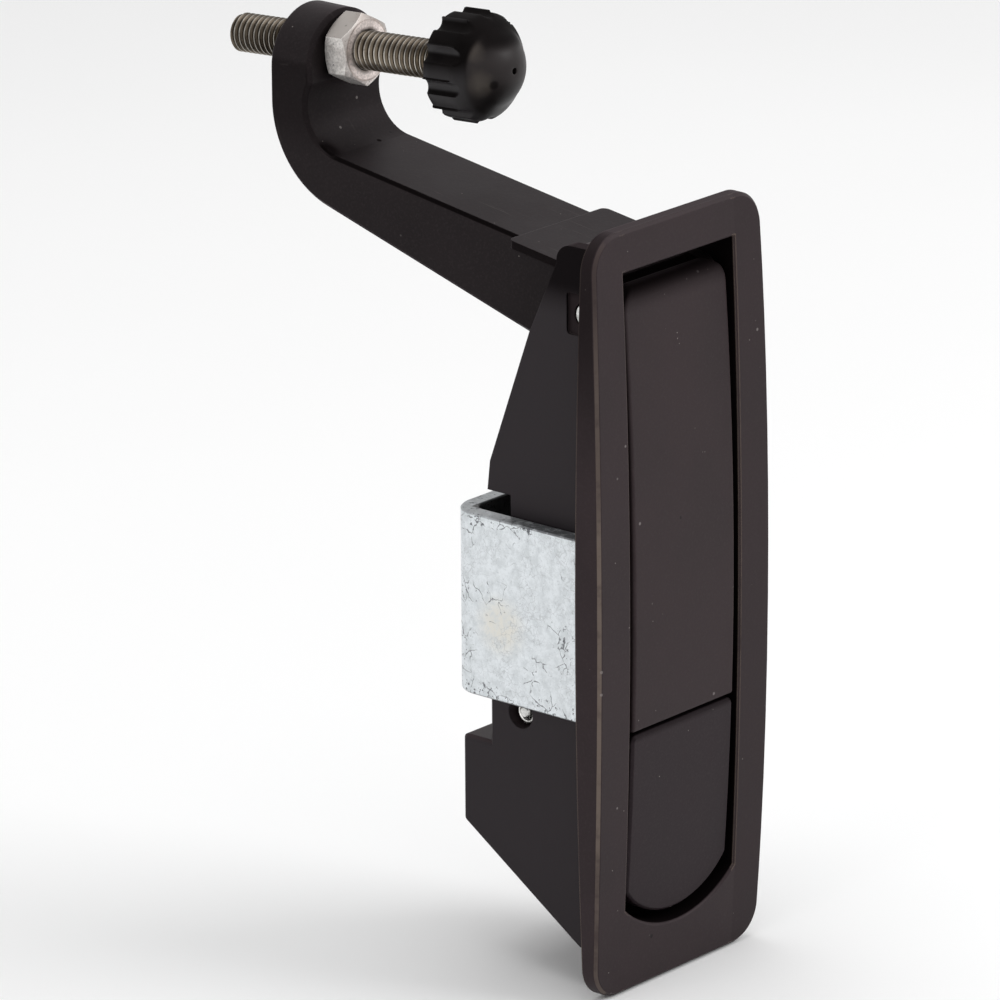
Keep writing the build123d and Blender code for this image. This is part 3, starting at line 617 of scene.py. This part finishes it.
for node, material in {
    "housing": coat_housing,
    "handle": coat_handle,
    "trigger": coat_trigger,
    "gooseneck_arm": coat_arm,
    "mounting_strap": zinc,
    "strap_lock_washer": screw_zinc,
    "lever_pivot_pin": pin_steel,
    "trigger_pivot_pin": pin_steel,
    "arm_roll_pin": spring_steel,
}.items():
    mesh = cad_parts[node].data
    mesh.materials.clear()
    mesh.materials.append(material)

# ------------------------------------------------------------------ mesh helpers


def shade(obj, angle):
    """Smooth faces, sharp where neighbours turn by more than the angle."""
    mesh = obj.data
    mesh.polygons.foreach_set("use_smooth", [True] * len(mesh.polygons))
    bm = bmesh.new()
    bm.from_mesh(mesh)
    for edge in bm.edges:
        edge.smooth = len(edge.link_faces) == 2 and edge.calc_face_angle(0) < radians(angle)
    bm.to_mesh(mesh)
    bm.free()


def piece(name, verts, faces, material, body, matrix, stands_for, angle):
    """A mesh piece that rides on a body and stands for CAD nodes."""
    mesh = bpy.data.meshes.new(name)
    mesh.from_pydata([Vector(v) for v in verts], [], faces)
    mesh.transform(matrix)
    bm = bmesh.new()
    bm.from_mesh(mesh)
    bmesh.ops.remove_doubles(bm, verts=bm.verts, dist=1e-7)
    bmesh.ops.dissolve_degenerate(bm, dist=1e-8, edges=bm.edges)
    bmesh.ops.recalc_face_normals(bm, faces=bm.faces)
    bm.to_mesh(mesh)
    bm.free()
    mesh.materials.append(material)
    obj = bpy.data.objects.new(name, mesh)
    bpy.context.scene.collection.objects.link(obj)
    shade(obj, angle)
    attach(obj, body)
    if stands_for:
        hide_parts(*stands_for)


# Growth of a rod's coned ends in radius, per mm of length.
END_CONE = 1.1


def threaded_rod(length, crest, root, pitch, tip, columns):
    """Rows of a right-hand thread from z = 0 to length, with coned ends of radius tip, and capped."""
    profile = [crest, crest, (crest * 2 + root) / 3, (crest + root * 2) / 3, root, root]
    profile += [(crest + root * 2) / 3, (crest * 2 + root) / 3]
    steps = len(profile)
    rows = int(length / pitch * steps) + 2 * steps
    verts, faces = [], []
    for i in range(columns):
        turn = 2 * pi * i / columns
        for j in range(rows):
            z = (j - steps) * pitch / steps + pitch * i / columns
            z = min(max(z, 0.0), length)
            limit = tip + min(z, length - z) * END_CONE
            r = min(profile[j % steps], limit)
            verts.append((r * cos(turn), r * sin(turn), z))
    for i in range(columns):
        wrap = i == columns - 1
        other = 0 if wrap else (i + 1) * rows
        shift = steps if wrap else 0
        for j in range(rows - 1):
            if j + 1 + shift >= rows:
                continue
            faces.append((i * rows + j, other + j + shift, other + j + 1 + shift, i * rows + j + 1))
    first = len(verts)
    for end in (0.0, length):
        turns = [2 * pi * i / columns for i in range(columns)]
        verts += [(tip * cos(turn), tip * sin(turn), end) for turn in turns]
        verts.append((0, 0, end))
        ring = first + (0 if end == 0.0 else columns + 1)
        faces += [(ring + i, ring + (i + 1) % columns, ring + columns) for i in range(columns)]
    return verts, faces


def lathe(rows, columns):
    """Surface round the z axis, from rows of radius and z; each may be a function of the angle."""
    verts, faces = [], []
    for radius, z in rows:
        for i in range(columns):
            a = 2 * pi * i / columns
            r = radius(a) if callable(radius) else radius
            h = z(a) if callable(z) else z
            verts.append((r * cos(a), r * sin(a), h))
    for j in range(len(rows) - 1):
        for i in range(columns):
            after = (i + 1) % columns
            row = j * columns
            above = row + columns
            faces.append((row + i, row + after, above + after, above + i))
    return verts, faces


def placed(verts, along):
    """Points moved along z by a distance in mm, and turned from mm into metres."""
    return [(x * MM, y * MM, (z + along) * MM) for x, y, z in verts]


# ------------------------------------------------------------------ stud, nut and bumper, in mm
THREAD_FROM = 0.6
STUD_LENGTH = 47.6
STUD_CREST = 2.99
STUD_ROOT = 2.42
STUD_PITCH = 1.0
STUD_TIP = 2.15
verts, faces = threaded_rod(STUD_LENGTH, STUD_CREST, STUD_ROOT, STUD_PITCH, STUD_TIP, 56)
verts = placed(verts, THREAD_FROM)
piece("stud_thread", verts, faces, stud_steel, "stud", STUD_FRAME, ("threaded_stud",), 50)

# The nut stands just off the arm's front face.
ARM_FRONT_Y = 61.4
NUT_GAP = 0.02
NUT_START = (STUD_REAR_Y - ARM_FRONT_Y) / cos(TILT) + NUT_GAP
NUT_FLATS = 9.8
NUT_HEIGHT = 4.2
NUT_FACE = NUT_FLATS / 2 - 0.22
NUT_TURN = 2
NUT_BORE = 2.52
BORE_EDGE = 3.1
BORE_CHAMFER = 0.55


def hex_radius(a):
    """Radius of the nut's outline; its corners stand nearly upright."""
    a = (a + radians(30 - NUT_TURN)) % radians(60) - radians(30)
    return NUT_FLATS / 2 / cos(a)


def chamfer_depth(a):
    """How far the nut's chamfer reaches down at an angle."""
    return (hex_radius(a) - NUT_FACE) * tan(radians(30))


nut_rows = [
    (NUT_BORE, BORE_CHAMFER), (BORE_EDGE, 0.0), (NUT_FACE, 0.0), (hex_radius, chamfer_depth),
    (hex_radius, lambda a: NUT_HEIGHT - chamfer_depth(a)), (NUT_FACE, NUT_HEIGHT),
    (BORE_EDGE, NUT_HEIGHT), (NUT_BORE, NUT_HEIGHT - BORE_CHAMFER), (NUT_BORE, BORE_CHAMFER),
]
verts, faces = lathe(nut_rows, 144)
verts = placed(verts, NUT_START)
piece("nut_body", verts, faces, nut_steel, "lock_nut", STUD_FRAME, ("lock_nut",), 12)

# Rear of the bumper along the stud, its scalloped skirt, its shoulder, and its dome with a vent.
RIM = 44.0
FLUTES = 10
FLUTE_R = 1.5
SKIRT_R = 8.05
FLUTE_DEPTH = 0.7
FLUTE_AT = radians(14)
DOME_R = 7.1
LENGTH = 11.05
DOME_CENTRE = LENGTH - DOME_R
VENT_R = 0.5
VENT_DEPTH = 2.0
SKIRT_LEVELS = (0.5, 1.6, 3.0, 4.2, 5.0)
SHOULDER = (
    (8.03, 5.3), (7.97, 5.6), (7.86, 5.9), (7.68, 6.2), (7.45, 6.5), (7.18, 6.8),
    (6.87, 7.1), (6.56, 7.39), (6.25, 7.67), (5.95, 7.96), (5.66, 8.26),
)


def fluted(a):
    """Skirt radius at an angle. A scallop's edge stands a little proud of the skirt."""
    b = (a - FLUTE_AT + pi / FLUTES) % (2 * pi / FLUTES) - pi / FLUTES
    reach = SKIRT_R + FLUTE_R - FLUTE_DEPTH
    inside = FLUTE_R ** 2 - (reach * sin(b)) ** 2
    if inside <= 0:
        return SKIRT_R
    return reach * cos(b) - sqrt(inside)


bumper_rows = [(2.6, 3.0), (3.0, 0.25), (3.2, 0.0)]
bumper_rows += [(lambda a: fluted(a) - 0.55, 0.0), (lambda a: fluted(a) - 0.16, 0.14)]
bumper_rows += [(fluted, z) for z in SKIRT_LEVELS]
bumper_rows += [(lambda a, limit=limit: min(fluted(a), limit), z) for limit, z in SHOULDER]
for step in range(41, 86, 3):
    polar = radians(step)
    bumper_rows.append((DOME_R * cos(polar), DOME_CENTRE + DOME_R * sin(polar)))
bumper_rows += [(VENT_R, LENGTH - 0.06), (VENT_R - 0.05, LENGTH - VENT_DEPTH), (0.001, LENGTH - VENT_DEPTH)]
verts, faces = lathe(bumper_rows, 240)
verts = placed(verts, RIM)
piece("bumper_moulding", verts, faces, rubber, "stud", STUD_FRAME, ("rubber_bumper",), 38)

# ------------------------------------------------------------------ strap screw, in mm
STRAP_MIDDLE = -1.65
HEAD_SEAT = 27.9
SCREW_LENGTH = 16.0
SCREW_CREST = 2.44
SCREW_ROOT = 2.02
SCREW_PITCH = 0.8
SCREW_TIP = 1.8
SCREW_FRAME = Matrix((
    (1, 0, 0, 0),
    (0, 0, 1, (HEAD_SEAT - SCREW_LENGTH) * MM),
    (0, -1, 0, STRAP_MIDDLE * MM),
    (0, 0, 0, 1),
))
verts, faces = threaded_rod(SCREW_LENGTH + 0.2, SCREW_CREST, SCREW_ROOT, SCREW_PITCH, SCREW_TIP, 40)
verts = placed(verts, 0.0)
piece("strap_screw_thread", verts, faces, screw_zinc, "strap_screw", SCREW_FRAME, (), 50)

HEAD_R = 4.6
HEAD_H = 3.3
HEAD_STRAIGHT = 1.1
HEAD_TOP_R = 2.6
RECESS_HALF = 0.52
RECESS_REACH = 2.35


def recess(a):
    """Outline of the cross recess: four arms that meet in the middle."""
    b = (a + pi / 4) % (pi / 2) - pi / 4
    across = RECESS_HALF / max(abs(sin(b)), 0.2)
    return min(RECESS_REACH, across if abs(b) > 0.2 else RECESS_REACH)


head_rows = [(0.001, 0.0), (2.0, 0.0), (HEAD_R - 0.15, 0.0), (HEAD_R, 0.15), (HEAD_R, HEAD_STRAIGHT)]
for step in range(1, 9):
    share = step / 8
    rise = (HEAD_H - HEAD_STRAIGHT - 0.12) * sqrt(1 - (1 - share) ** 2)
    head_rows.append((HEAD_R - (HEAD_R - HEAD_TOP_R) * share, HEAD_STRAIGHT + rise))
head_rows += [(lambda a: recess(a) + 0.1, HEAD_H - 0.1), (recess, HEAD_H - 0.25)]
head_rows += [(lambda a: recess(a) * 0.6, 1.6), (0.001, 1.2)]
verts, faces = lathe(head_rows, 96)
verts = placed(verts, SCREW_LENGTH)
piece(
    "strap_screw_head", verts, faces, screw_zinc, "strap_screw", SCREW_FRAME,
    ("strap_screw",), 34
)

# ------------------------------------------------------------------ springs


def coil(name, points, wire, body, stands_for):
    """A round wire through the points, as a bevelled curve."""
    curve = bpy.data.curves.new(name, "CURVE")
    curve.dimensions = "3D"
    curve.bevel_depth = wire * MM
    curve.bevel_resolution = 5
    curve.use_fill_caps = True
    line = curve.splines.new("POLY")
    line.points.add(len(points) - 1)
    for p, co in zip(line.points, points):
        p.co = (co[0] * MM, co[1] * MM, co[2] * MM, 1)
    curve.materials.append(spring_steel)
    obj = bpy.data.objects.new(name, curve)
    bpy.context.scene.collection.objects.link(obj)
    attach(obj, body)
    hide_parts(stands_for)


def helix(start, length, turns, radius, y, z, first):
    """Points of a coil about a line parallel to x, in mm; first is the angle it starts at."""
    count = int(turns * 28)
    return [
        (
            start + length * i / count,
            y + radius * cos(first + 2 * pi * turns * i / count),
            z + radius * sin(first + 2 * pi * turns * i / count),
        )
        for i in range(count + 1)
    ]


trigger_coil = helix(start=-14.0, length=2.7, turns=3.0, radius=1.6, y=15.2, z=-18.0, first=0.6)
coil("trigger_spring_wire", trigger_coil, 0.4, "frame", "trigger_spring")
lever_coil = helix(start=-2.5, length=5.0, turns=5.0, radius=2.6, y=2.9, z=45.4, first=1.2)
coil("lever_spring_wire", lever_coil, 0.44, "frame", "lever_spring")

# ------------------------------------------------------------------ floor, light, camera
low, high = (Vector(c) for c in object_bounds())
middle = (low + high) / 2
FLOOR_Z = low.z - 0.0002


def floor_material():
    """Pale, faintly clouded floor."""
    k = Mat("studio_floor")
    tone = k.noise(3.0, 3, 0.5)
    colour = k.mix(k.remap(tone, 0.3, 0.7), (0.93, 0.93, 0.93), (0.95, 0.95, 0.95))
    return k.finish(Base_Color=colour, Roughness=0.9, Specular_IOR_Level=0.1)


bpy.ops.mesh.primitive_plane_add(size=6.0, location=(middle.x, middle.y, FLOOR_Z))
floor = bpy.context.object
floor.name = "studio_floor"
floor.data.materials.append(floor_material())
floor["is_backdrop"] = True


def area_light(name, place, energy, size, size_y):
    """A rectangular light at the place, aimed at the object's middle."""
    data = bpy.data.lights.new(name, "AREA")
    data.energy = energy
    data.shape = "RECTANGLE"
    data.size = size
    data.size_y = size_y
    obj = bpy.data.objects.new(name, data)
    obj.location = place
    aim = middle - Vector(place)
    obj.rotation_euler = aim.to_track_quat("-Z", "Y").to_euler()
    bpy.context.scene.collection.objects.link(obj)


area_light("key_front_right", (0.55, -0.75, 0.75), 6.5, 0.7, 0.7)
area_light("fill_left", (-0.95, 0.10, 0.35), 1.4, 0.6, 0.8)
area_light("top_soft", (0.0, 0.15, 1.1), 5.0, 0.9, 0.9)

world = bpy.data.worlds.new("studio_world")
bpy.context.scene.world = world
world.use_nodes = True
tree = world.node_tree
tree.nodes.clear()
out = tree.nodes.new("ShaderNodeOutputWorld")
soft = tree.nodes.new("ShaderNodeBackground")
soft.inputs["Color"].default_value = (1, 1, 1, 1)
soft.inputs["Strength"].default_value = 0.50
seen = tree.nodes.new("ShaderNodeBackground")
seen.inputs["Color"].default_value = (1, 1, 1, 1)
seen.inputs["Strength"].default_value = 1.0
path = tree.nodes.new("ShaderNodeLightPath")
camera_or_glossy = tree.nodes.new("ShaderNodeMath")
camera_or_glossy.operation = "MAXIMUM"
any_of_three = tree.nodes.new("ShaderNodeMath")
any_of_three.operation = "MAXIMUM"
choice = tree.nodes.new("ShaderNodeMixShader")
tree.links.new(path.outputs["Is Camera Ray"], camera_or_glossy.inputs[0])
tree.links.new(path.outputs["Is Glossy Ray"], camera_or_glossy.inputs[1])
tree.links.new(camera_or_glossy.outputs[0], any_of_three.inputs[0])
tree.links.new(path.outputs["Is Transmission Ray"], any_of_three.inputs[1])
tree.links.new(any_of_three.outputs[0], choice.inputs["Fac"])
tree.links.new(soft.outputs["Background"], choice.inputs[1])
tree.links.new(seen.outputs["Background"], choice.inputs[2])
tree.links.new(choice.outputs["Shader"], out.inputs["Surface"])

# Camera at the photo's angle: turned left and up round the origin, then moved sideways and up, in mm.
AZIMUTH = radians(49.4)
ELEVATION = radians(18.1)
ROLL = radians(-0.36)
DISTANCE = 1130.0
MOVE_RIGHT = -24.24
MOVE_UP = 13.77
level_right = Vector((cos(AZIMUTH), -sin(AZIMUTH), 0))
back = Vector((-sin(AZIMUTH) * cos(ELEVATION), -cos(AZIMUTH) * cos(ELEVATION), sin(ELEVATION)))
level_up = back.cross(level_right)
right = cos(ROLL) * level_right + sin(ROLL) * level_up
upward = cos(ROLL) * level_up - sin(ROLL) * level_right
spot = (MOVE_RIGHT * right + MOVE_UP * upward + DISTANCE * back) * MM
camera_data = bpy.data.cameras.new("camera")
camera_data.lens = 277.1
camera_data.sensor_width = 36.0
camera_data.clip_start = 0.05
camera = bpy.data.objects.new("camera", camera_data)
camera.matrix_world = Matrix((
    (right.x, upward.x, back.x, spot.x),
    (right.y, upward.y, back.y, spot.y),
    (right.z, upward.z, back.z, spot.z),
    (0, 0, 0, 1),
))
bpy.context.scene.collection.objects.link(camera)
bpy.context.scene.camera = camera
bpy.context.scene.view_settings.view_transform = "Standard"
